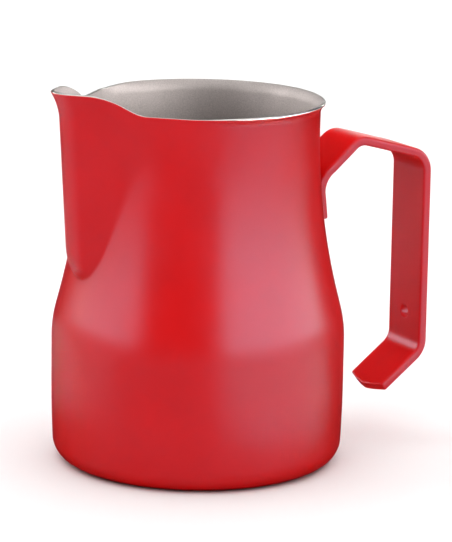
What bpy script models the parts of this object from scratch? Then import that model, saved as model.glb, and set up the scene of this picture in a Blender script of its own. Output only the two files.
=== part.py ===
"""Milk frothing pitcher, 0.5 litre.

One drawn steel cup with a pressed pouring spout, and a bent flat-bar handle
that two spot welds hold to the neck. The handle's lower end is free.

Frame: metres, +Z up. The origin is on the cup's axis, in the plane it stands on.
The spout points to -X and the handle to +X, so XZ is the plane of symmetry.
The named dimensions are millimetres; MM turns them into metres.
"""
import math

import bmesh
import bpy
from mathutils import Vector

MM = 0.001

# Cup: outer surface, heights above the base
BELLY_RADIUS = 42.5
BELLY_MIDDLE = 24.0        # below this height the wall curves in a little
BELLY_ARC = 400.0
FOOT_CORNER = 6.0          # radius of the corner between base and wall
SHOULDER_ARC = 35.0        # radius of the shoulder's arc, seen from the side
CONE_ANGLE = math.radians(14.5)      # lean of the straight cone from shoulder to neck
NECK_RADIUS = 34.15        # narrowest place, just under the rim
NECK_HEIGHT = 97.0
NECK_ARC = 190.0           # radius of the long hollow curve of the neck
RIM_HEIGHT = 105.3
SHEET = 0.9                # thickness of the coated sheet

# Rim: a short outward flare, on the round part of the mouth
FLARE_ARC = 3.2
FLARE_RISE = 2.8
FLARE_STARTS = math.radians(60)    # measured from the spout, round the cup
FLARE_FULL = math.radians(86)

# Spout: a wedge with a rounded nose, pressed out of the neck
WEDGE_HALF_ANGLE = math.radians(45)
NOSE_ARC = 7.6             # radius of the rounded nose, seen from above
NOSE_REACH = 42.0          # nose to axis, at the height SPOUT_SHOULDER
NOSE_LEAN = 0.060          # how far the nose moves out for each unit of height
SPOUT_SHOULDER = 66.0      # below this the nose rounds off into the neck
SPOUT_END_RISE = 10.0
SPOUT_END_DROP = 4.5
CREASE_BLEND = 0.6         # softness of the valley between flank and neck
PINCH_STARTS = 84.0        # above this height the flanks pull the neck flat
LIP_RISE = 5.0             # the spout's lip above the round rim
LIP_FLAT = math.radians(12)        # the lip keeps its full height this far round
LIP_ENDS = math.radians(35.3)
TIP_FLARE = 2.3            # the lip curls out this far at the tip
TIP_FLARE_RISE = 8.0
TIP_FLARE_FULL = math.radians(10)
TIP_FLARE_ENDS = math.radians(24)

# Handle: flat bar, outlined by its centre line in the XZ plane
BAR_WIDTH = 17.8
BAR_THICK = 2.6
BAR_EDGE = 0.75            # radius of the bar's rounded edges
WELD_GAP = 0.3             # between the tab and the neck
TAB_BOTTOM = 69.0
TAB_TOP = 80.9
CREST = (48.6, 91.5)
UPPER_CORNER = (71.9, 85.2)
LOWER_CORNER = (71.8, 26.0)
FREE_END = (58.6, 15.8)    # the free end's two corners
TAB_ARC = 7.5              # bend radii, at the centre line
CREST_ARC = 5.0
GRIP_ARC = 6.2
END_CROWN = 2.1            # the free end stands out this far in its middle
END_POINT = 1.4            # power of its outline: 2 is round, 1 is pointed
HOLE_RADIUS = 2.0
HOLE_HEIGHT = 36.1

# Spot welds between the tab and the neck, side by side
NUGGET_RADIUS = 2.6
NUGGET_THICK = 0.9
NUGGET_HEIGHT = 73.2
NUGGETS = {"weld_spot_left": -4.5, "weld_spot_right": 4.5}     # distance from the XZ plane

# Mesh density
COLUMNS = 72
WALL_BREAK = 84.0          # rings are level up to here, and follow the lip above


def step(low, high, x):
    """0 below low, 1 above high, with a smooth step between them."""
    t = min(max((x - low) / (high - low), 0.0), 1.0)
    return t * t * (3.0 - 2.0 * t)


# ---------------------------------------------------------------- cup surface

def arc_drop(arc, along):
    """How far an arc has fallen away from its tangent."""
    return arc - math.sqrt(arc ** 2 - along ** 2)


def belly_top():
    """Height where the straight belly ends and the shoulder's arc begins."""
    cone_top = NECK_HEIGHT - NECK_ARC * math.sin(CONE_ANGLE)
    top_radius = NECK_RADIUS + NECK_ARC * (1.0 - math.cos(CONE_ANGLE))
    foot_radius = BELLY_RADIUS - SHOULDER_ARC * (1.0 - math.cos(CONE_ANGLE))
    cone_foot = cone_top - (foot_radius - top_radius) / math.tan(CONE_ANGLE)
    return cone_foot - SHOULDER_ARC * math.sin(CONE_ANGLE)


def round_radius(z):
    """Outer radius of the round cup, without spout and flare."""
    from_neck = NECK_HEIGHT - z
    if from_neck < NECK_ARC * math.sin(CONE_ANGLE):
        return NECK_RADIUS + arc_drop(NECK_ARC, from_neck)
    from_belly = z - belly_top()
    shoulder_rise = SHOULDER_ARC * math.sin(CONE_ANGLE)
    if from_belly > shoulder_rise:
        cone_foot_radius = BELLY_RADIUS - arc_drop(SHOULDER_ARC, shoulder_rise)
        return cone_foot_radius - (from_belly - shoulder_rise) * math.tan(CONE_ANGLE)
    if from_belly > 0.0:
        return BELLY_RADIUS - arc_drop(SHOULDER_ARC, from_belly)
    tucked = arc_drop(BELLY_ARC, max(BELLY_MIDDLE - z, 0.0))
    return BELLY_RADIUS - tucked - arc_drop(FOOT_CORNER, max(FOOT_CORNER - z, 0.0))


def nose_reach(z):
    """Distance from the axis to the spout's nose."""
    reach = NOSE_REACH + NOSE_LEAN * (z - SPOUT_SHOULDER)
    below = min(max((SPOUT_SHOULDER - z) / SPOUT_END_RISE, 0.0), 1.0)
    return reach - SPOUT_END_DROP * arc_drop(1.0, below)


def flank_distance(z):
    """Distance from the axis to the spout's flat flanks."""
    sharp_tip = nose_reach(z) + NOSE_ARC * (1.0 / math.sin(WEDGE_HALF_ANGLE) - 1.0)
    return sharp_tip * math.sin(WEDGE_HALF_ANGLE)


def wedge_radius(turn, z):
    """Distance from the axis to the spout's wedge, at an angle from the nose."""
    flank_normal = math.pi / 2 - WEDGE_HALF_ANGLE
    centre = nose_reach(z) - NOSE_ARC
    touch_x = centre + NOSE_ARC * math.cos(flank_normal)
    touch_y = NOSE_ARC * math.sin(flank_normal)
    if turn < math.atan2(touch_y, touch_x):
        chord = math.sqrt(NOSE_ARC ** 2 - (centre * math.sin(turn)) ** 2)
        return centre * math.cos(turn) + chord
    return flank_distance(z) / math.cos(turn - flank_normal)


def with_spout(turn, z):
    """Round cup and wedge together, with a soft crease between them."""
    radius = round_radius(z)
    if z < SPOUT_SHOULDER - SPOUT_END_RISE or turn > math.radians(80):
        return radius
    proud = wedge_radius(turn, z) - radius
    near = max(CREASE_BLEND - abs(proud), 0.0)
    raised = max(proud, 0.0) + near * near / (4.0 * CREASE_BLEND)
    sunk = min(proud - raised, 0.0)
    if turn > math.pi / 2 - WEDGE_HALF_ANGLE:
        raised = 0.0
        sunk = min(proud, 0.0)
    return radius + raised + sunk * step(PINCH_STARTS, RIM_HEIGHT, z)


def lip_height(turn):
    return RIM_HEIGHT + LIP_RISE * (1.0 - step(LIP_FLAT, LIP_ENDS, turn))


def wall_radius(turn, z):
    """Outer radius of the finished cup, flares included."""
    radius = with_spout(turn, z)
    into_flare = max(z - lip_height(turn) + FLARE_RISE, 0.0)
    radius += arc_drop(FLARE_ARC, into_flare) * step(FLARE_STARTS, FLARE_FULL, turn)
    into_tip = max(z - lip_height(turn) + TIP_FLARE_RISE, 0.0) / TIP_FLARE_RISE
    tip_share = 1.0 - step(TIP_FLARE_FULL, TIP_FLARE_ENDS, turn)
    return radius + TIP_FLARE * into_tip ** 2 * tip_share


def ring_heights():
    """Ring heights as (level, share): level rings, then shares of the way to the lip."""
    corner = [FOOT_CORNER * (1.0 - math.cos(math.radians(a))) for a in (0, 22, 45, 67, 90)]
    shoulder_rise = SHOULDER_ARC * math.sin(CONE_ANGLE)
    shoulder = [belly_top() + shoulder_rise * share for share in (0.0, 0.5, 1.0)]
    spout_end = [50.0, 56.5, 58.0, 60.0, 62.5, SPOUT_SHOULDER, 74.0, WALL_BREAK]
    level = [(z, 0.0) for z in corner + [21.0] + shoulder + spout_end]
    return level + [(WALL_BREAK, share) for share in (0.3, 0.6, 0.8, 0.88, 0.93, 0.97, 1.0)]


def cup_point(angle, level, share):
    turn = abs(math.atan2(math.sin(angle), math.cos(angle)))
    z = level + share * (lip_height(turn) - level)
    radius = wall_radius(turn, z)
    return Vector((-radius * math.cos(angle), -radius * math.sin(angle), z)) * MM


# ---------------------------------------------------------------- bar outline

def tab_line():
    """The tab's centre line in the XZ plane: its lower end, its top and its lean."""
    stand_off = WELD_GAP + BAR_THICK / 2
    low = (round_radius(TAB_BOTTOM) + stand_off, TAB_BOTTOM)
    high = (round_radius(TAB_TOP) + stand_off, TAB_TOP)
    lean = math.atan2(low[0] - high[0], high[1] - low[1])
    return low, high, lean


def bend(corner, before, after, arc):
    """Stations (x, z, heading) round one bend of the bar."""
    turn = after - before
    side = math.copysign(1.0, turn)
    reach = arc * math.tan(abs(turn) / 2)
    x = corner[0] - reach * math.cos(before) - side * arc * math.sin(before)
    z = corner[1] - reach * math.sin(before) + side * arc * math.cos(before)
    pieces = max(3, round(abs(math.degrees(turn)) / 16))
    headings = [before + turn * k / pieces for k in range(pieces + 1)]
    return [(x + side * arc * math.sin(h), z - side * arc * math.cos(h), h) for h in headings]


def bar_path():
    """Centre line of the bar, from the tab to the free end, as (x, z, heading, cup).

    cup is 1 where the bar is pressed round the neck, and 0 where it is flat.
    """
    low, high, _ = tab_line()
    corners = [low, high, CREST, UPPER_CORNER, LOWER_CORNER, FREE_END]
    headings = [math.atan2(b[1] - a[1], b[0] - a[0]) for a, b in zip(corners, corners[1:])]
    stations = [(*low, headings[0], 1.0)]
    for index, arc in enumerate((TAB_ARC, CREST_ARC, GRIP_ARC, GRIP_ARC)):
        turned = bend(corners[index + 1], headings[index], headings[index + 1], arc)
        for k, place in enumerate(turned):
            cup = 1.0 - k / (len(turned) - 1) if index == 0 else 0.0
            stations.append((*place, cup))
    return stations + [(*FREE_END, headings[-1], 0.0)]


def bar_section():
    """Outline of the bar's rounded section as (across, out) pairs, once round."""
    half_flat = BAR_WIDTH / 2 - BAR_EDGE
    half_thick = BAR_THICK / 2
    edge = [
        (
            half_flat + BAR_EDGE * math.cos(math.radians(angle)),
            half_thick - BAR_EDGE + BAR_EDGE * math.sin(math.radians(angle)),
        )
        for angle in (0, 45, 90)
    ]
    face = [(half_flat * k / 3, half_thick) for k in (2, 1, 0, -1, -2)]
    upper = edge + face + [(-across, out) for across, out in reversed(edge)]
    return upper + [(-across, -out) for across, out in upper]


def bar_point(station, across, out, crown):
    """A point of the bar's skin; crown rounds out its free end."""
    x, z, heading, cup = station
    tab_radius = tab_line()[0][0]
    out += cup * (tab_radius - math.sqrt(tab_radius ** 2 - across ** 2))
    along = crown * END_CROWN * (1.0 - abs(2.0 * across / BAR_WIDTH) ** END_POINT)
    return Vector((
        x - out * math.sin(heading) + along * math.cos(heading),
        across,
        z + out * math.cos(heading) + along * math.sin(heading),
    )) * MM


# ---------------------------------------------------------------- objects

def finish(name, color, roughness, metallic):
    """A plain material with the piece's colour and gloss."""
    material = bpy.data.materials.new(name)
    material.use_nodes = True
    shader = material.node_tree.nodes["Principled BSDF"]
    shader.inputs["Base Color"].default_value = (*color, 1.0)
    shader.inputs["Roughness"].default_value = roughness
    shader.inputs["Metallic"].default_value = metallic
    material.diffuse_color = (*color, 1.0)
    return material


def add_object(name, bm, material=None):
    mesh = bpy.data.meshes.new(name)
    bm.to_mesh(mesh)
    bm.free()
    mesh.shade_smooth()
    mesh.set_sharp_from_angle(angle=math.radians(30))
    obj = bpy.data.objects.new(name, mesh)
    bpy.context.scene.collection.objects.link(obj)
    if material:
        mesh.materials.append(material)
    return obj


def make_cup(material):
    """The cup: its outer surface, thickened inwards into sheet."""
    bm = bmesh.new()
    angles = [2.0 * math.pi * (i + 0.5) / COLUMNS for i in range(COLUMNS)]
    rings = [
        [bm.verts.new(cup_point(angle, level, share)) for angle in angles]
        for level, share in ring_heights()
    ]
    for lower, upper in zip(rings, rings[1:]):
        for i in range(COLUMNS):
            j = (i + 1) % COLUMNS
            bm.faces.new((lower[i], lower[j], upper[j], upper[i]))
    bm.faces.new(list(reversed(rings[0])))
    cup = add_object("pitcher_body", bm, material)
    sheet = cup.modifiers.new("sheet", 'SOLIDIFY')
    sheet.thickness = SHEET * MM
    sheet.offset = -1.0
    sheet.use_even_offset = True
    sheet.use_quality_normals = True
    return cup


def make_bar(material):
    """The handle: one flat bar, bent four times and crowned at its free end."""
    bm = bmesh.new()
    stations = bar_path()
    outline = bar_section()
    count = len(outline)
    rings = []
    for station in stations:
        crown = 1.0 if station is stations[-1] else 0.0
        rings.append([bm.verts.new(bar_point(station, v, n, crown)) for v, n in outline])
    for first, second in zip(rings, rings[1:]):
        for i in range(count):
            j = (i + 1) % count
            bm.faces.new((first[i], first[j], second[j], second[i]))
    for ring in (rings[0], rings[-1]):
        for i in range(count // 2 - 1):
            bm.faces.new((ring[i], ring[i + 1], ring[count - 2 - i], ring[count - 1 - i]))
    bmesh.ops.recalc_face_normals(bm, faces=bm.faces)
    return add_object("handle_strap", bm, material)


def make_disc(name, radius, thick, sides, material=None):
    """A round disc or cutter, its axis along X."""
    bm = bmesh.new()
    bmesh.ops.create_cone(
        bm, cap_ends=True, segments=sides, radius1=radius * MM, radius2=radius * MM,
        depth=thick * MM,
    )
    disc = add_object(name, bm, material)
    disc.rotation_euler = (0.0, math.radians(90), 0.0)
    return disc


def cut(piece, cutter):
    """Cut one closed shape out of a piece."""
    cutter.hide_render = True
    cutter.display_type = 'WIRE'
    boolean = piece.modifiers.new(cutter.name, 'BOOLEAN')
    boolean.operation = 'DIFFERENCE'
    boolean.solver = 'EXACT'
    boolean.object = cutter


def cut_hanging_hole(bar):
    """The hole through the grip near its lower end."""
    hole = make_disc("hanging_hole_cutter", HOLE_RADIUS, 4.0 * BAR_THICK, 24)
    grip_x = (UPPER_CORNER[0] + LOWER_CORNER[0]) / 2
    hole.location = Vector((grip_x, 0.0, HOLE_HEIGHT)) * MM
    cut(bar, hole)


def add_spot_weld(name, aside, bar, material):
    """A weld nugget between neck and tab, and the pocket that it fills in the tab."""
    lean = tab_line()[2]
    neck = round_radius(NUGGET_HEIGHT)
    turn = math.asin(aside / neck)
    wall = Vector((neck * math.cos(turn), aside, NUGGET_HEIGHT))
    level = math.cos(lean)
    outward = Vector((level * math.cos(turn), level * math.sin(turn), math.sin(lean)))
    pocket_depth = NUGGET_THICK + 2.0 * WELD_GAP
    pocket = make_disc(name + "_cutter", NUGGET_RADIUS + WELD_GAP, 2.0 * pocket_depth, 24)
    nugget = make_disc(name, NUGGET_RADIUS, NUGGET_THICK, 24, material)
    pocket.location = wall * MM
    nugget.location = (wall + outward * (WELD_GAP + NUGGET_THICK / 2)) * MM
    for disc in (pocket, nugget):
        disc.rotation_euler.y -= lean
        disc.rotation_euler.z = turn
    rounding = nugget.modifiers.new("lens edge", 'BEVEL')
    rounding.width = NUGGET_THICK * MM / 4
    rounding.segments = 2
    cut(bar, pocket)


def main():
    for obj in list(bpy.data.objects):
        bpy.data.objects.remove(obj, do_unlink=True)
    coated_red = finish("coated_red", (0.58, 0.014, 0.010), 0.38, 0.0)
    weld_steel = finish("weld_steel", (0.42, 0.40, 0.38), 0.45, 1.0)
    make_cup(coated_red)
    bar = make_bar(coated_red)
    cut_hanging_hole(bar)
    for name, aside in NUGGETS.items():
        add_spot_weld(name, aside, bar, weld_steel)


main()
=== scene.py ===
"""Looks of the milk frothing pitcher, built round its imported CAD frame.

The drawn cup and the bent bar get fine meshes that stand for their CAD nodes, and the
two weld nuggets keep theirs. Every surface has a procedural material.

Frame: metres, +Z up, spout to -X, handle to +X. The named dimensions are millimetres.
"""
import math

import bmesh
import bpy
import numpy as np
from mathutils import Matrix, Vector


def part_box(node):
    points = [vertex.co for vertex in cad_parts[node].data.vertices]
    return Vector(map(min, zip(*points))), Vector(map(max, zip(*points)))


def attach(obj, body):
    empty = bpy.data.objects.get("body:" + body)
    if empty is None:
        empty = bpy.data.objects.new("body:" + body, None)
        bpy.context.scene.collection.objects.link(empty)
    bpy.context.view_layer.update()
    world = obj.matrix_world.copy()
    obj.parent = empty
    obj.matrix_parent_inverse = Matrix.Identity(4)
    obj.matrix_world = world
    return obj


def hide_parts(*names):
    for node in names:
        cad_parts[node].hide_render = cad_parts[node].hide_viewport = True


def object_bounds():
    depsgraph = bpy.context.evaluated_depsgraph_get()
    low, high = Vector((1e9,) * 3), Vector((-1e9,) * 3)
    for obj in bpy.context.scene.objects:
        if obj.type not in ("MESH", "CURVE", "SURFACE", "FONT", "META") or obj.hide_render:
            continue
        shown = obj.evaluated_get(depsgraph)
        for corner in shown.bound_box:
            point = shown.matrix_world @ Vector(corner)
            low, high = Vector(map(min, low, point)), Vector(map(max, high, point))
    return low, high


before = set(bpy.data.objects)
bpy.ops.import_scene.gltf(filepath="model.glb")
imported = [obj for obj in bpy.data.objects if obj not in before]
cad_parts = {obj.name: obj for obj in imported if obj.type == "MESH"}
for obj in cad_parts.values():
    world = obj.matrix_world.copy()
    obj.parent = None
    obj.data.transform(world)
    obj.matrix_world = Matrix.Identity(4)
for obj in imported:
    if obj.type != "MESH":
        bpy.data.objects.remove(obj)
CAD_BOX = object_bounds()
CUP_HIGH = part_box("pitcher_body")[1]
BAR_LOW, BAR_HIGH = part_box("handle_strap")

MM = 0.001

# Cup: outer surface, heights above the base
BELLY_RADIUS = CUP_HIGH.y / MM
BELLY_MIDDLE = 24.0        # below this height the wall curves in a little
BELLY_ARC = 400.0
FOOT_CORNER = 6.0
SHOULDER_ARC = 35.0
CONE_ANGLE = math.radians(14.5)
NECK_RADIUS = 34.15
NECK_HEIGHT = 97.0
NECK_ARC = 190.0
RIM_HEIGHT = 105.3
SHEET = 0.9                # thickness of the coated sheet

# Rim: a short outward flare, on the round part of the mouth
FLARE_ARC = 3.2
FLARE_RISE = 2.8
FLARE_STARTS = math.radians(60)    # measured from the spout, round the cup
FLARE_FULL = math.radians(86)
EDGE_ROUND = 0.3           # how far the sheet's rounded edge stands out
COAT_STOPS = math.radians(35)      # place of the coating's end, round that edge

# Spout: a wedge with a rounded nose, pressed out of the neck
WEDGE_HALF_ANGLE = math.radians(45)
NOSE_ARC = 7.6
NOSE_REACH = 42.0
NOSE_LEAN = 0.060
SPOUT_SHOULDER = 66.0      # below this height the nose rounds off into the neck
SPOUT_END_RISE = 10.0
SPOUT_END_DROP = 4.5
SPOUT_SIDE = math.radians(80)      # beyond this angle the cup is round
CREASE_SHARP = 0.2         # softness of the valley beside the spout, at its lower end
CREASE_SOFT = 1.5          # and at the mouth
PINCH_STARTS = 84.0        # above this height the flanks pull the neck flat
LIP_RISE = 5.0             # the spout's lip above the round rim
LIP_FLAT = math.radians(12)
LIP_ENDS = math.radians(35.3)
TIP_FLARE = 2.3
TIP_FLARE_RISE = 8.0
TIP_FLARE_FULL = math.radians(10)
TIP_FLARE_ENDS = math.radians(24)

# Underside: a shallow pressed recess inside the ring that the cup stands on
RECESS_DEPTH = 0.5
RECESS_FLOOR = 30.0        # radius of the recess's flat floor
RECESS_TOP = 33.0          # radius where the standing ring begins
RECESS_CENTRE = 2.0        # radius of the underside's first ring

# Handle: flat bar, outlined by its centre line in the XZ plane
BAR_WIDTH = (BAR_HIGH.y - BAR_LOW.y) / MM
BAR_THICK = 2.6
BAR_EDGE = 0.75
TAB_GAP = 0.12             # between the tab and the neck
TAB_BOTTOM = 69.0
TAB_TOP = 80.9
GRIP_X = BAR_HIGH.x / MM - BAR_THICK / 2
CREST = (48.6, 91.5)
UPPER_CORNER = (GRIP_X, 85.2)
LOWER_CORNER = (GRIP_X, 26.0)
FREE_END = (58.6, 15.8)
TAB_ARC = 7.5
CREST_ARC = 5.0
GRIP_ARC = 6.2
END_CROWN = 2.1            # the free end stands out this far in its middle
END_POINT = 1.4            # power of its outline: 2 is round, 1 is pointed
END_ROUND = 0.5            # rounding of the bar's two end faces
CROWN_REACH = 6.0          # the crown fades out over this length
HOLE_RADIUS = 2.0
HOLE_ROUND = 0.2           # rounding of the hole's two edges
HOLE_HEIGHT = 36.1
GRIP_SPAN = (0.55, 0.85)   # shares of the bar's length between which the hole lies
NUGGET_POCKET = 2.9        # radius of the pocket round each nugget
POCKET_DEPTH = 1.4
POCKET_EDGE = 0.1
WELD_MARK = 2.7            # radius of the electrode's dent behind each nugget
WELD_MARK_DEPTH = 0.25
WELD_MARK_FLAT = 0.5       # share of that radius that is flat
NUGGETS = ("weld_spot_left", "weld_spot_right")

# Mesh density of the cup
FINE_COLUMN = 0.5          # degrees between columns, near the spout
ROUND_COLUMN = 2.0         # and round the rest of the cup
FINE_SIDE = 50.0           # degrees from the spout up to which columns are fine
UNDERSIDE_RINGS = (7, 8, 4)        # on the recess's floor, its slope and the standing ring
CORNER_RINGS = 14
LEVEL_RINGS = (14, 14, 10, 34, 20)     # belly, shoulder, cone, spout's lower end and neck
SPOUT_END_MARGIN = (1.0, 2.0)      # those of its lower end start this far below, and end above
WALL_BREAK = 84.0          # rings are level up to here, and follow the lip above
LIP_RINGS = 60
EDGE_STEPS = 12            # round the sheet's edge

# Mesh density of the bar
ACROSS_CELLS = 24          # cells across the bar's flat face
EDGE_CELLS = 6             # and round a quarter of its edge
ALONG_CELLS = 90
PATCH_CELLS = 10           # cells along each side of a patch that a round feature fills
PATCH_BLENDS = (0.4, 0.75)         # how round the patch's own rings are
PATCH_MARGIN = 0.2         # free of rings round a patch
END_MARGIN = 0.1           # and beside the rounded ends
RING_SPACE = 0.3           # least distance between two rings
SAME_RING = 0.01           # rings of two patches this near are one
HALF_FLAT = BAR_WIDTH / 2 - BAR_EDGE
CELL = 2.0 * HALF_FLAT / ACROSS_CELLS

# Materials: linear colours
COAT_RED = (0.655, 0.0025, 0.0015)
COAT_ROUGHNESS = 0.32
COAT_SPECULAR = 0.5
COAT_SHEEN = (0.25, 0.75, 1.0)
STEEL = (0.54, 0.49, 0.472)
STEEL_ROUGHNESS = 0.68
EDGE_STEEL = (0.80, 0.77, 0.74)
EDGE_ROUGHNESS = 0.34

# Studio, in metres and degrees: one panel overhead lights all, a ring of them lights only
# the colours, and others show only in the gloss
FLOOR_RADIUS = 6.0
FLOOR_TONE = (0.86, 0.86, 0.86)
AIR = 0.12                 # radiance of the air all round
TOP_PANEL = (0.0, 90.0, 4.0, 6.0, 6.0, 1.25)       # laid out as SHINE_PANELS
RING_PANELS = 6
RING_PANEL = (45.0, 3.0, 2.4, 2.2, 1.2)            # the same, without the azimuth
SHINE_PANELS = {           # azimuth, elevation, distance, width, height, radiance
    "softbox_left": (-90.0, 16.5, 2.0, 3.4, 1.0, 4.2),
    "softbox_right": (69.0, 14.0, 2.0, 4.4, 1.15, 5.4),
    "softbox_back": (178.0, 7.0, 2.0, 2.0, 0.8, 1.2),
}
PANEL_POWER = math.pi      # power of a panel for each unit of radiance and area
GLOW_DISCS = {             # bright places of the floor: azimuth, distance, diameter, radiance
    "floor_glow_left": (-100.0, 0.28, 0.38, 0.5),
    "floor_glow_right": (62.0, 0.26, 0.38, 1.1),
}

# Camera: a long lens, a little above the cup
VIEW_TURN = math.radians(-29)
VIEW_PITCH = math.radians(12.663)
VIEW_ROLL = math.radians(0.949)
VIEW_DISTANCE = 900.0
VIEW_AIM = (6.87, -3.81, 55.24)
LENS = 206.7
SENSOR = 36.0


def step(low, high, x):
    """0 below low, 1 above high, with a smooth step between them."""
    t = min(max((x - low) / (high - low), 0.0), 1.0)
    return t * t * (3.0 - 2.0 * t)


def spaced(low, high, count):
    """count values from low up to, but without, high."""
    return [low + (high - low) * k / count for k in range(count)]


# ---------------------------------------------------------------- cup surface

def arc_drop(arc, along):
    """How far an arc has fallen away from its tangent."""
    return arc - math.sqrt(arc ** 2 - along ** 2)


def belly_top():
    """Height where the straight belly ends and the shoulder's arc begins."""
    cone_top = NECK_HEIGHT - NECK_ARC * math.sin(CONE_ANGLE)
    top_radius = NECK_RADIUS + NECK_ARC * (1.0 - math.cos(CONE_ANGLE))
    foot_radius = BELLY_RADIUS - SHOULDER_ARC * (1.0 - math.cos(CONE_ANGLE))
    cone_foot = cone_top - (foot_radius - top_radius) / math.tan(CONE_ANGLE)
    return cone_foot - SHOULDER_ARC * math.sin(CONE_ANGLE)


def round_radius(z):
    """Outer radius of the round cup, without spout and flare."""
    from_neck = NECK_HEIGHT - z
    if from_neck < NECK_ARC * math.sin(CONE_ANGLE):
        return NECK_RADIUS + arc_drop(NECK_ARC, from_neck)
    from_belly = z - belly_top()
    shoulder_rise = SHOULDER_ARC * math.sin(CONE_ANGLE)
    if from_belly > shoulder_rise:
        cone_foot_radius = BELLY_RADIUS - arc_drop(SHOULDER_ARC, shoulder_rise)
        return cone_foot_radius - (from_belly - shoulder_rise) * math.tan(CONE_ANGLE)
    if from_belly > 0.0:
        return BELLY_RADIUS - arc_drop(SHOULDER_ARC, from_belly)
    tucked = arc_drop(BELLY_ARC, max(BELLY_MIDDLE - z, 0.0))
    return BELLY_RADIUS - tucked - arc_drop(FOOT_CORNER, max(FOOT_CORNER - z, 0.0))


def nose_reach(z):
    """Distance from the axis to the spout's nose."""
    reach = NOSE_REACH + NOSE_LEAN * (z - SPOUT_SHOULDER)
    below = min(max((SPOUT_SHOULDER - z) / SPOUT_END_RISE, 0.0), 1.0)
    return reach - SPOUT_END_DROP * arc_drop(1.0, below)


def wedge_radius(turn, z):
    """Distance from the axis to the spout's wedge, at an angle from the nose."""
    flank_normal = math.pi / 2 - WEDGE_HALF_ANGLE
    centre = nose_reach(z) - NOSE_ARC
    touch_x = centre + NOSE_ARC * math.cos(flank_normal)
    touch_y = NOSE_ARC * math.sin(flank_normal)
    if turn < math.atan2(touch_y, touch_x):
        chord = math.sqrt(NOSE_ARC ** 2 - (centre * math.sin(turn)) ** 2)
        return centre * math.cos(turn) + chord
    sharp_tip = nose_reach(z) + NOSE_ARC * (1.0 / math.sin(WEDGE_HALF_ANGLE) - 1.0)
    return sharp_tip * math.sin(WEDGE_HALF_ANGLE) / math.cos(turn - flank_normal)


def with_spout(turn, z):
    """Round cup and wedge together, with a soft crease between them."""
    radius = round_radius(z)
    if z < SPOUT_SHOULDER - SPOUT_END_RISE or turn > SPOUT_SIDE:
        return radius
    up = step(SPOUT_SHOULDER, RIM_HEIGHT, z)
    blend = CREASE_SHARP + (CREASE_SOFT - CREASE_SHARP) * up
    proud = wedge_radius(turn, z) - radius
    near = max(blend - abs(proud), 0.0)
    raised = max(proud, 0.0) + near * near / (4.0 * blend)
    sunk = min(proud - raised, 0.0)
    if turn > math.pi / 2 - WEDGE_HALF_ANGLE:
        raised = 0.0
        sunk = min(proud, 0.0)
    return radius + raised + sunk * step(PINCH_STARTS, RIM_HEIGHT, z)


def lip_height(turn):
    """Height of the mouth's edge, at an angle from the spout."""
    return RIM_HEIGHT + LIP_RISE * (1.0 - step(LIP_FLAT, LIP_ENDS, turn))


def wall_radius(turn, z):
    """Outer radius of the finished cup, flares included."""
    radius = with_spout(turn, z)
    into_flare = max(z - lip_height(turn) + FLARE_RISE, 0.0)
    radius += arc_drop(FLARE_ARC, into_flare) * step(FLARE_STARTS, FLARE_FULL, turn)
    into_tip = max(z - lip_height(turn) + TIP_FLARE_RISE, 0.0) / TIP_FLARE_RISE
    tip_share = 1.0 - step(TIP_FLARE_FULL, TIP_FLARE_ENDS, turn)
    return radius + TIP_FLARE * into_tip ** 2 * tip_share


def base_rings():
    """Rings of the underside as (radius, height), from the centre outwards."""
    stops = (RECESS_CENTRE, RECESS_FLOOR, RECESS_TOP, round_radius(0.0))
    radii = []
    for low, high, count in zip(stops, stops[1:], UNDERSIDE_RINGS):
        radii += spaced(low, high, count)
    return [(r, RECESS_DEPTH * (1.0 - step(RECESS_FLOOR, RECESS_TOP, r))) for r in radii]


def wall_rings():
    """Rings of the wall as (level, share): level rings, then shares of the way to the lip."""
    turns = [math.radians(a) for a in spaced(0, 90, CORNER_RINGS)]
    level = [FOOT_CORNER * (1.0 - math.cos(turn)) for turn in turns]
    shoulder_top = belly_top() + SHOULDER_ARC * math.sin(CONE_ANGLE)
    spout_low = SPOUT_SHOULDER - SPOUT_END_RISE - SPOUT_END_MARGIN[0]
    spout_high = SPOUT_SHOULDER + SPOUT_END_MARGIN[1]
    stops = (FOOT_CORNER, belly_top(), shoulder_top, spout_low, spout_high, WALL_BREAK)
    for low, high, count in zip(stops, stops[1:], LEVEL_RINGS):
        level += spaced(low, high, count)
    shares = spaced(0.0, 1.0, LIP_RINGS) + [1.0]
    return [(z, 0.0) for z in level] + [(WALL_BREAK, share) for share in shares]


def column_angles():
    """Angles of the mesh's columns round the axis from the spout, denser near it."""
    half = spaced(0.0, FINE_SIDE, round(FINE_SIDE / FINE_COLUMN))
    half += spaced(FINE_SIDE, 180.0, round((180.0 - FINE_SIDE) / ROUND_COLUMN))
    return [math.radians(a) for a in half + [180.0] + [-a for a in reversed(half[1:])]]


def wall_point(angle, level, share):
    """A point of the wall, at a share of the way from a level up to the lip."""
    turn = abs(angle)
    z = level + share * (lip_height(turn) - EDGE_ROUND - level)
    radius = wall_radius(turn, z)
    return (-radius * math.cos(angle), radius * math.sin(angle), z)


def outer_skin():
    """The cup's outer surface as an array of rings, columns and x, y, z."""
    angles = column_angles()
    rings = [[(-r * math.cos(a), r * math.sin(a), z) for a in angles] for r, z in base_rings()]
    rings += [[wall_point(a, *ring) for a in angles] for ring in wall_rings()]
    return np.array(rings)


def unit(vectors):
    return vectors / np.linalg.norm(vectors, axis=-1, keepdims=True)


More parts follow.
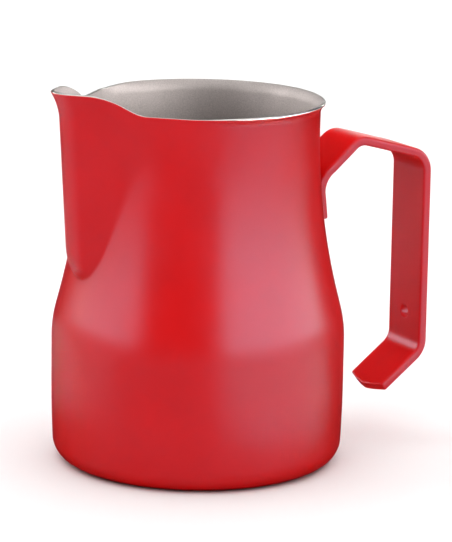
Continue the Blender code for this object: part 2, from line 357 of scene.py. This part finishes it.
def shell_rings():
    """All rings of the cup's closed skin: outside, rounded edge, then inside.

    Returns the rings, how many the coating covers, and how many come before the inside.
    """
    outside = outer_skin()
    upward = unit(np.gradient(outside, axis=0))
    around = unit(np.roll(outside, -1, axis=1) - np.roll(outside, 1, axis=1))
    outward = unit(np.cross(upward, around))
    inside = outside - outward * SHEET
    middle = (outside[-1] + inside[-1]) / 2
    turns = [math.radians(t) for t in spaced(0, 180, EDGE_STEPS)[1:]]
    edge = [
        middle + outward[-1] * SHEET / 2 * math.cos(t) + upward[-1] * EDGE_ROUND * math.sin(t)
        for t in turns
    ]
    coated = len(outside) + sum(t < COAT_STOPS for t in turns)
    return np.concatenate([outside, edge, inside[::-1]]), coated, len(outside) + len(turns)


def make_cup(coat, bare_edge, bare_inside):
    """The drawn cup as one closed sheet, coated outside and bare inside."""
    rings, coated, lined = shell_rings()
    bm = bmesh.new()
    verts = [[bm.verts.new(Vector(p) * MM) for p in ring] for ring in rings]
    columns = len(verts[0])
    for index, (first, second) in enumerate(zip(verts, verts[1:])):
        slot = 0 if index < coated else 1 if index < lined else 2
        for i in range(columns):
            j = (i + 1) % columns
            bm.faces.new((first[i], first[j], second[j], second[i])).material_index = slot
    for ring, slot in ((verts[0], 0), (verts[-1], 2)):
        centre = bm.verts.new(sum((v.co for v in ring), Vector()) / columns)
        for i in range(columns):
            bm.faces.new((centre, ring[i], ring[(i + 1) % columns])).material_index = slot
    return add_object("pitcher_cup", bm, [coat, bare_edge, bare_inside])


# ---------------------------------------------------------------- bar

def tab_line():
    """The tab's centre line in the XZ plane: its lower end and its top."""
    stand_off = TAB_GAP + BAR_THICK / 2
    low = (round_radius(TAB_BOTTOM) + stand_off, TAB_BOTTOM)
    high = (round_radius(TAB_TOP) + stand_off, TAB_TOP)
    return low, high


def bend(corner, before, after, arc):
    """Stations (x, z, heading) round one bend of the bar."""
    turn = after - before
    side = math.copysign(1.0, turn)
    reach = arc * math.tan(abs(turn) / 2)
    x = corner[0] - reach * math.cos(before) - side * arc * math.sin(before)
    z = corner[1] - reach * math.sin(before) + side * arc * math.cos(before)
    pieces = max(8, round(abs(math.degrees(turn)) / 4))
    headings = [before + turn * k / pieces for k in range(pieces + 1)]
    return [(x + side * arc * math.sin(h), z - side * arc * math.cos(h), h) for h in headings]


def bar_stations():
    """Centre line of the bar from tab to free end, as (place, x, z, heading, cup).

    place is the distance along the bar; cup is 1 where the bar is pressed round the
    neck, and 0 where it is flat.
    """
    low, high = tab_line()
    corners = [low, high, CREST, UPPER_CORNER, LOWER_CORNER, FREE_END]
    headings = [math.atan2(b[1] - a[1], b[0] - a[0]) for a, b in zip(corners, corners[1:])]
    points = [(*low, headings[0], 1.0)]
    for index, arc in enumerate((TAB_ARC, CREST_ARC, GRIP_ARC, GRIP_ARC)):
        turned = bend(corners[index + 1], headings[index], headings[index + 1], arc)
        for k, place in enumerate(turned):
            cup = 1.0 - k / (len(turned) - 1) if index == 0 else 0.0
            points.append((*place, cup))
    points.append((*FREE_END, headings[-1], 0.0))
    stations = []
    place = 0.0
    for index, point in enumerate(points):
        if index:
            place += math.dist(point[:2], points[index - 1][:2])
        stations.append((place, *point))
    return stations


BAR = np.array(bar_stations())
BAR_LENGTH = BAR[-1, 0]


def bar_place(height, first, last):
    """Distance along the bar of a height, searched between two places."""
    places = np.linspace(first, last, 400)
    return places[np.argmin(abs(np.interp(places, BAR[:, 0], BAR[:, 2]) - height))]


def crown_share(place):
    """How much of the free end's crown a ring of the bar takes."""
    return max(0.0, 1.0 - (BAR_LENGTH - place) / CROWN_REACH)


def bar_point(place, across, out):
    """A point of the bar: along it, across it, and out from its centre line."""
    x, z, heading, cup = (np.interp(place, BAR[:, 0], BAR[:, k]) for k in (1, 2, 3, 4))
    tab_radius = tab_line()[0][0]
    out += cup * (tab_radius - math.sqrt(tab_radius ** 2 - across ** 2))
    outline = 1.0 - abs(2.0 * across / BAR_WIDTH) ** END_POINT
    along = crown_share(place) * END_CROWN * outline
    return Vector((
        x - out * math.sin(heading) + along * math.cos(heading),
        across,
        z + out * math.cos(heading) + along * math.sin(heading),
    )) * MM


def bar_section():
    """Outline of the bar's rounded section as (across, out, normal), once round."""
    half_thick = BAR_THICK / 2
    edge = [
        (
            HALF_FLAT + BAR_EDGE * math.cos(a),
            half_thick - BAR_EDGE + BAR_EDGE * math.sin(a),
            (math.cos(a), math.sin(a)),
        )
        for a in (math.radians(d) for d in spaced(0, 90, EDGE_CELLS))
    ]
    flat = [HALF_FLAT - CELL * k for k in range(ACROSS_CELLS + 1)]
    upper = edge + [(across, half_thick, (0.0, 1.0)) for across in flat]
    upper += [(-across, out, (-a, b)) for across, out, (a, b) in reversed(edge)]
    return upper + [(-across, -out, (-a, -b)) for across, out, (a, b) in upper]


def round_features():
    """Round features of the bar as (place, across, side, rings, through).

    rings are (radius, depth) pairs, from the outer edge of the feature inwards.
    """
    hole = bar_place(HOLE_HEIGHT, *(BAR_LENGTH * share for share in GRIP_SPAN))
    rounding = [math.radians(d) for d in (0, 30, 60, 90)]
    mouth = [
        (HOLE_RADIUS + HOLE_ROUND * (1.0 - math.sin(t)), HOLE_ROUND * (1.0 - math.cos(t)))
        for t in rounding
    ]
    features = [(hole, 0.0, side, mouth, True) for side in (1, -1)]
    pocket = [(NUGGET_POCKET, depth) for depth in (0.0, POCKET_EDGE, POCKET_DEPTH)]
    mark = [
        (WELD_MARK * share, WELD_MARK_DEPTH * (1.0 - step(WELD_MARK_FLAT, 1.0, share)))
        for share in (1.0, 0.92, 0.84, 0.76, 0.68, 0.6, 0.5, 0.3)
    ]
    for name in NUGGETS:
        low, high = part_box(name)
        centre = (low + high) / 2 / MM
        place = bar_place(centre.z, 0.0, TAB_TOP - TAB_BOTTOM)
        features.append((place, centre.y, 1, pocket, False))
        features.append((place, centre.y, -1, mark, False))
    return features


def bar_rings(features):
    """Rings of the bar as (place, inset), in order, with the rounded ends."""
    half_patch = PATCH_CELLS // 2
    places = []
    for place, *_ in features:
        own = [place + CELL * k for k in range(-half_patch, half_patch + 1)]
        places += [p for p in own if all(abs(p - q) > SAME_RING for q in places)]
    from_patch = CELL * half_patch + PATCH_MARGIN
    from_end = END_ROUND + END_MARGIN
    for place in list(BAR[:, 0]) + spaced(0.0, BAR_LENGTH, ALONG_CELLS):
        patched = any(abs(place - feature[0]) < from_patch for feature in features)
        at_end = not from_end < place < BAR_LENGTH - from_end
        if not patched and not at_end and all(abs(place - p) > RING_SPACE for p in places):
            places.append(place)
    turns = [math.radians(d) for d in (0, 22, 45, 67, 90)]
    cap = [(END_ROUND * (1.0 - math.sin(t)), END_ROUND * (1.0 - math.cos(t))) for t in turns]
    first = [(back, inset) for back, inset in reversed(cap)]
    last = [(BAR_LENGTH - back, inset) for back, inset in cap]
    return first + [(p, 0.0) for p in sorted(places)] + last


def patch_loop(grid, rings, section, feature):
    """The square of vertices round a feature, in order, and the cells inside it.

    Each vertex comes with its distance from the feature's centre, along and across.
    """
    place, across, side, *_ = feature
    row = min(range(len(rings)), key=lambda i: abs(rings[i][0] - place) + rings[i][1])
    face = [j for j, (_, _, normal) in enumerate(section) if normal[1] * side == 1.0]
    column = min(face, key=lambda j: abs(section[j][0] - across))
    h = PATCH_CELLS // 2
    cells = {(row + i, column + j) for i in range(-h, h) for j in range(-h, h)}
    walk = [(-h, j) for j in range(-h, h)] + [(i, h) for i in range(-h, h)]
    walk += [(h, -j) for j in range(-h, h)] + [(-i, -h) for i in range(-h, h)]
    loop = [
        (
            grid[row + i][column + j],
            rings[row + i][0] - place,
            section[column + j][0] - across,
        )
        for i, j in walk
    ]
    return loop, cells


def fill_patch(bm, loop, feature):
    """Rings from the square loop in to the feature's last ring, which it returns."""
    place, across, side, profile, through = feature
    start = math.atan2(loop[0][2], loop[0][1])
    after = math.atan2(loop[1][2], loop[1][1])
    way = math.copysign(2.0 * math.pi / len(loop), math.remainder(after - start, 2 * math.pi))
    circle = [(math.cos(start + way * k), math.sin(start + way * k)) for k in range(len(loop))]
    widest = profile[0][0]
    blends = [(blend, widest, 0.0) for blend in PATCH_BLENDS]
    blends += [(1.0, radius, depth) for radius, depth in profile]
    previous = [vert for vert, _, _ in loop]
    for blend, radius, depth in blends:
        ring = []
        for (_, a, b), (c, s) in zip(loop, circle):
            along = a + (radius * c - a) * blend
            aside = b + (radius * s - b) * blend
            out = side * (BAR_THICK / 2 - depth)
            ring.append(bm.verts.new(bar_point(place + along, across + aside, out)))
        bridge(bm, previous, ring)
        previous = ring
    if not through:
        centre = bm.verts.new(sum((v.co for v in previous), Vector()) / len(previous))
        for k, vert in enumerate(previous):
            bm.faces.new((vert, previous[(k + 1) % len(previous)], centre))
    return previous


def bridge(bm, first, second):
    """Quads between two closed rings of vertices."""
    for k in range(len(first)):
        n = (k + 1) % len(first)
        bm.faces.new((first[k], first[n], second[n], second[k]))


def make_bar(coat):
    """The handle: one bent flat bar with its hole, weld pockets and weld marks."""
    bm = bmesh.new()
    section = bar_section()
    features = round_features()
    rings = bar_rings(features)
    grid = [
        [bm.verts.new(bar_point(p, v - a * inset, n - b * inset)) for v, n, (a, b) in section]
        for p, inset in rings
    ]
    patches = [patch_loop(grid, rings, section, feature) for feature in features]
    skipped = set().union(*(cells for _, cells in patches))
    count = len(section)
    for i, (first, second) in enumerate(zip(grid, grid[1:])):
        for j in range(count):
            n = (j + 1) % count
            if (i, j) not in skipped:
                bm.faces.new((first[j], first[n], second[n], second[j]))
    for ring in (grid[0], grid[-1]):
        for j in range(count // 2 - 1):
            bm.faces.new((ring[j], ring[j + 1], ring[count - 2 - j], ring[count - 1 - j]))
    bores = [
        fill_patch(bm, loop, feature)
        for (loop, _), feature in zip(patches, features)
    ]
    outer, inner = [bore for bore, feature in zip(bores, features) if feature[4]]
    facing = [min(inner, key=lambda v: (v.co - vert.co).length) for vert in outer]
    bridge(bm, outer, facing)
    return add_object("handle_bar", bm, [coat])


def add_object(name, bm, materials):
    """A smooth-shaded piece that rides on the frame's one body."""
    bmesh.ops.recalc_face_normals(bm, faces=bm.faces)
    mesh = bpy.data.meshes.new(name)
    bm.to_mesh(mesh)
    bm.free()
    mesh.shade_smooth()
    obj = bpy.data.objects.new(name, mesh)
    bpy.context.scene.collection.objects.link(obj)
    for material in materials:
        mesh.materials.append(material)
    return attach(obj, "root")


# ---------------------------------------------------------------- materials

class Look:
    """A Principled material under construction, with its own procedural nodes."""

    def __init__(self, name, color, roughness, metallic):
        self.material = bpy.data.materials.new(name)
        self.material.use_nodes = True
        self.tree = self.material.node_tree
        self.shader = self.tree.nodes["Principled BSDF"]
        self.set("Base Color", (*color, 1.0))
        self.set("Roughness", roughness)
        self.set("Metallic", metallic)
        self.place = self.node("ShaderNodeTexCoord").outputs["Object"]

    def set(self, socket, value):
        self.shader.inputs[socket].default_value = value

    def node(self, kind, links=None, **values):
        """Add a node, link its named inputs, and set its other inputs."""
        made = self.tree.nodes.new(kind)
        for socket, value in (links or {}).items():
            self.tree.links.new(value, made.inputs[socket])
        for socket, value in values.items():
            made.inputs[socket].default_value = value
        return made

    def noise(self, size, detail=2.0, stretch=None):
        """Noise with features of about that size in millimetres."""
        place = self.place
        if stretch:
            scaled = self.node("ShaderNodeVectorMath", {0: place})
            scaled.operation = 'MULTIPLY'
            scaled.inputs[1].default_value = stretch
            place = scaled.outputs[0]
        noise = self.node("ShaderNodeTexNoise", {"Vector": place}, Detail=detail)
        noise.inputs["Scale"].default_value = 1.0 / (size * MM)
        return noise.outputs["Fac"]

    def spread(self, value, low, high):
        """Noise brought from its usual range to the range from low to high."""
        mapped = self.node("ShaderNodeMapRange", {"Value": value})
        for socket, number in zip(("From Min", "From Max", "To Min", "To Max"), (0.3, 0.7, low, high)):
            mapped.inputs[socket].default_value = number
        return mapped.outputs["Result"]

    def tint(self, share, first, second):
        """Colour between two colours, linked to the shader's base colour."""
        ramp = self.node("ShaderNodeValToRGB", {"Fac": share})
        ramp.color_ramp.elements[0].color = (*first, 1.0)
        ramp.color_ramp.elements[1].color = (*second, 1.0)
        self.tree.links.new(ramp.outputs["Color"], self.shader.inputs["Base Color"])

    def roughen(self, value):
        self.tree.links.new(value, self.shader.inputs["Roughness"])

    def bumps(self, *layers):
        """Bump layers as (height, millimetres), one on top of the other."""
        normal = None
        for height, depth in layers:
            links = {"Height": height}
            if normal:
                links["Normal"] = normal
            bump = self.node("ShaderNodeBump", links, Strength=1.0, Distance=depth * MM)
            normal = bump.outputs["Normal"]
        self.tree.links.new(normal, self.shader.inputs["Normal"])


def shade(color, share):
    """A share of a colour's brightness."""
    return tuple(c * share for c in color)


def coating(name):
    """Satin red coating, sprayed and baked: a faint orange peel with a fine tooth."""
    look = Look(name, COAT_RED, COAT_ROUGHNESS, 0.0)
    look.set("Specular IOR Level", COAT_SPECULAR)
    look.set("Specular Tint", (*COAT_SHEEN, 1.0))
    look.tint(look.spread(look.noise(14.0, 3.0), 0.0, 1.0), shade(COAT_RED, 0.96), shade(COAT_RED, 1.04))
    spread = look.spread(look.noise(9.0, 4.0), COAT_ROUGHNESS - 0.025, COAT_ROUGHNESS + 0.025)
    look.roughen(spread)
    look.bumps((look.noise(1.3, 1.0), 0.004), (look.noise(0.16, 2.0), 0.0012))
    return look.material


def blasted_steel(name):
    """Bare inside of the cup: matt steel with a fine grain and faint drawing rings."""
    look = Look(name, STEEL, STEEL_ROUGHNESS, 1.0)
    grain = look.noise(0.32, 3.0)
    look.tint(look.spread(grain, 0.0, 1.0), shade(STEEL, 0.88), shade(STEEL, 1.12))
    look.roughen(look.spread(look.noise(5.0, 4.0), STEEL_ROUGHNESS - 0.04, STEEL_ROUGHNESS + 0.04))
    rings = look.noise(0.5, 2.0, (0.02, 0.02, 1.0))
    look.bumps((rings, 0.0015), (grain, 0.012))
    return look.material


def rubbed_edge(name):
    """The sheet's bare edge, rubbed bright, with short scratches along it."""
    look = Look(name, EDGE_STEEL, EDGE_ROUGHNESS, 1.0)
    look.roughen(look.spread(look.noise(1.5, 4.0), EDGE_ROUGHNESS - 0.06, EDGE_ROUGHNESS + 0.08))
    look.tint(look.spread(look.noise(3.0, 3.0), 0.0, 1.0), shade(EDGE_STEEL, 0.9), EDGE_STEEL)
    look.bumps((look.noise(0.2, 2.0, (1.0, 1.0, 6.0)), 0.003))
    return look.material


def weld_metal(name):
    """Weld nugget: dull fused steel with a straw and blue heat tint in patches."""
    look = Look(name, STEEL, 0.5, 1.0)
    look.tint(look.spread(look.noise(1.6, 3.0), 0.0, 1.0), (0.34, 0.30, 0.33), (0.52, 0.44, 0.33))
    look.roughen(look.spread(look.noise(0.8, 3.0), 0.42, 0.6))
    look.bumps((look.noise(0.4, 3.0), 0.02))
    return look.material


def studio_paper(name):
    """Pale floor with a trace of paper tooth."""
    look = Look(name, FLOOR_TONE, 0.9, 0.0)
    look.set("Specular IOR Level", 0.1)
    look.tint(look.spread(look.noise(30.0, 3.0), 0.0, 1.0), shade(FLOOR_TONE, 0.995), FLOOR_TONE)
    look.bumps((look.noise(1.0, 3.0), 0.01))
    return look.material


# ---------------------------------------------------------------- studio

def add_floor():
    bpy.ops.mesh.primitive_circle_add(
        vertices=128, radius=FLOOR_RADIUS, fill_type='NGON', location=(0.0, 0.0, CAD_BOX[0].z)
    )
    floor = bpy.context.object
    floor.name = "studio_floor"
    floor.data.materials.append(studio_paper("floor_paper"))
    floor.visible_glossy = False


def aim_from_camera(azimuth, elevation):
    """Direction from the cup; the azimuth is from the camera, positive to its right."""
    turn = math.radians(azimuth) + VIEW_TURN
    rise = math.radians(elevation)
    return Vector((math.sin(turn) * math.cos(rise), -math.cos(turn) * math.cos(rise), math.sin(rise)))


def add_panel(name, place, facing, width, height, radiance):
    """A soft panel of light that the camera doesn't see."""
    data = bpy.data.lights.new(name, 'AREA')
    data.shape = 'RECTANGLE'
    data.size = width
    data.size_y = height
    data.energy = radiance * PANEL_POWER * width * height
    panel = bpy.data.objects.new(name, data)
    panel.location = place
    panel.rotation_mode = 'QUATERNION'
    panel.rotation_quaternion = (-facing).to_track_quat('Z', 'Y')
    panel.visible_camera = False
    bpy.context.scene.collection.objects.link(panel)
    return panel


def aim_panel(name, azimuth, elevation, distance, width, height, radiance):
    """A panel that faces the cup's middle."""
    away = aim_from_camera(azimuth, elevation)
    place = Vector((0.0, 0.0, CAD_BOX[1].z / 2)) + away * distance
    return add_panel(name, place, -away, width, height, radiance)


def add_glow(name, azimuth, distance, diameter, radiance):
    """A disc of light that lies on the floor and faces up."""
    place = aim_from_camera(azimuth, 0.0) * distance + Vector((0.0, 0.0, MM))
    disc = add_panel(name, place, Vector((0.0, 0.0, 1.0)), diameter, diameter, radiance)
    disc.data.shape = 'ELLIPSE'
    return disc


def limit(panel, diffuse, glossy):
    """Keep a panel's light to the colours or to the gloss."""
    panel.visible_diffuse = diffuse
    panel.visible_glossy = glossy
    panel.data.cycles.use_multiple_importance_sampling = False


def add_panels():
    """All panels: the one overhead, the ring for the colours, and those for the gloss."""
    aim_panel("softbox_top", *TOP_PANEL)
    for k in range(RING_PANELS):
        limit(aim_panel(f"sky_{k}", 360.0 * k / RING_PANELS, *RING_PANEL), True, False)
    for name, panel in SHINE_PANELS.items():
        limit(aim_panel(name, *panel), False, True)
    for name, disc in GLOW_DISCS.items():
        limit(add_glow(name, *disc), False, True)


def add_world():
    """Dim even air, which doesn't show in the gloss."""
    world = bpy.data.worlds.new("studio_air")
    world.use_nodes = True
    background = world.node_tree.nodes["Background"]
    background.inputs["Color"].default_value = (1.0, 1.0, 1.0, 1.0)
    background.inputs["Strength"].default_value = AIR
    world.cycles_visibility.glossy = False
    bpy.context.scene.world = world


def add_camera():
    """The long lens at the pitcher's near left, a little above its rim."""
    data = bpy.data.cameras.new("camera")
    data.sensor_width = SENSOR
    data.lens = LENS
    camera = bpy.data.objects.new("camera", data)
    ahead = Vector((
        -math.sin(VIEW_TURN) * math.cos(VIEW_PITCH),
        math.cos(VIEW_TURN) * math.cos(VIEW_PITCH),
        -math.sin(VIEW_PITCH),
    ))
    level = Vector((math.cos(VIEW_TURN), math.sin(VIEW_TURN), 0.0))
    up = level.cross(ahead)
    right = math.cos(VIEW_ROLL) * level + math.sin(VIEW_ROLL) * up
    top = math.cos(VIEW_ROLL) * up - math.sin(VIEW_ROLL) * level
    place = (Vector(VIEW_AIM) - ahead * VIEW_DISTANCE) * MM
    turned = Matrix((right, top, -ahead)).transposed().to_4x4()
    camera.matrix_world = Matrix.Translation(place) @ turned
    bpy.context.scene.collection.objects.link(camera)
    bpy.context.scene.camera = camera


def main():
    coat = coating("coated_steel")
    edge = rubbed_edge("rubbed_edge")
    inside = blasted_steel("blasted_steel")
    cup = make_cup(coat, edge, inside)
    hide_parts("pitcher_body")
    bar = make_bar(coating("coated_bar"))
    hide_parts("handle_strap")
    weld = weld_metal("weld_metal")
    for name in NUGGETS:
        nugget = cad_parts[name]
        nugget.data.materials.clear()
        nugget.data.materials.append(weld)
    add_floor()
    add_world()
    add_panels()
    add_camera()
    bpy.context.scene.view_settings.view_transform = 'Standard'


main()
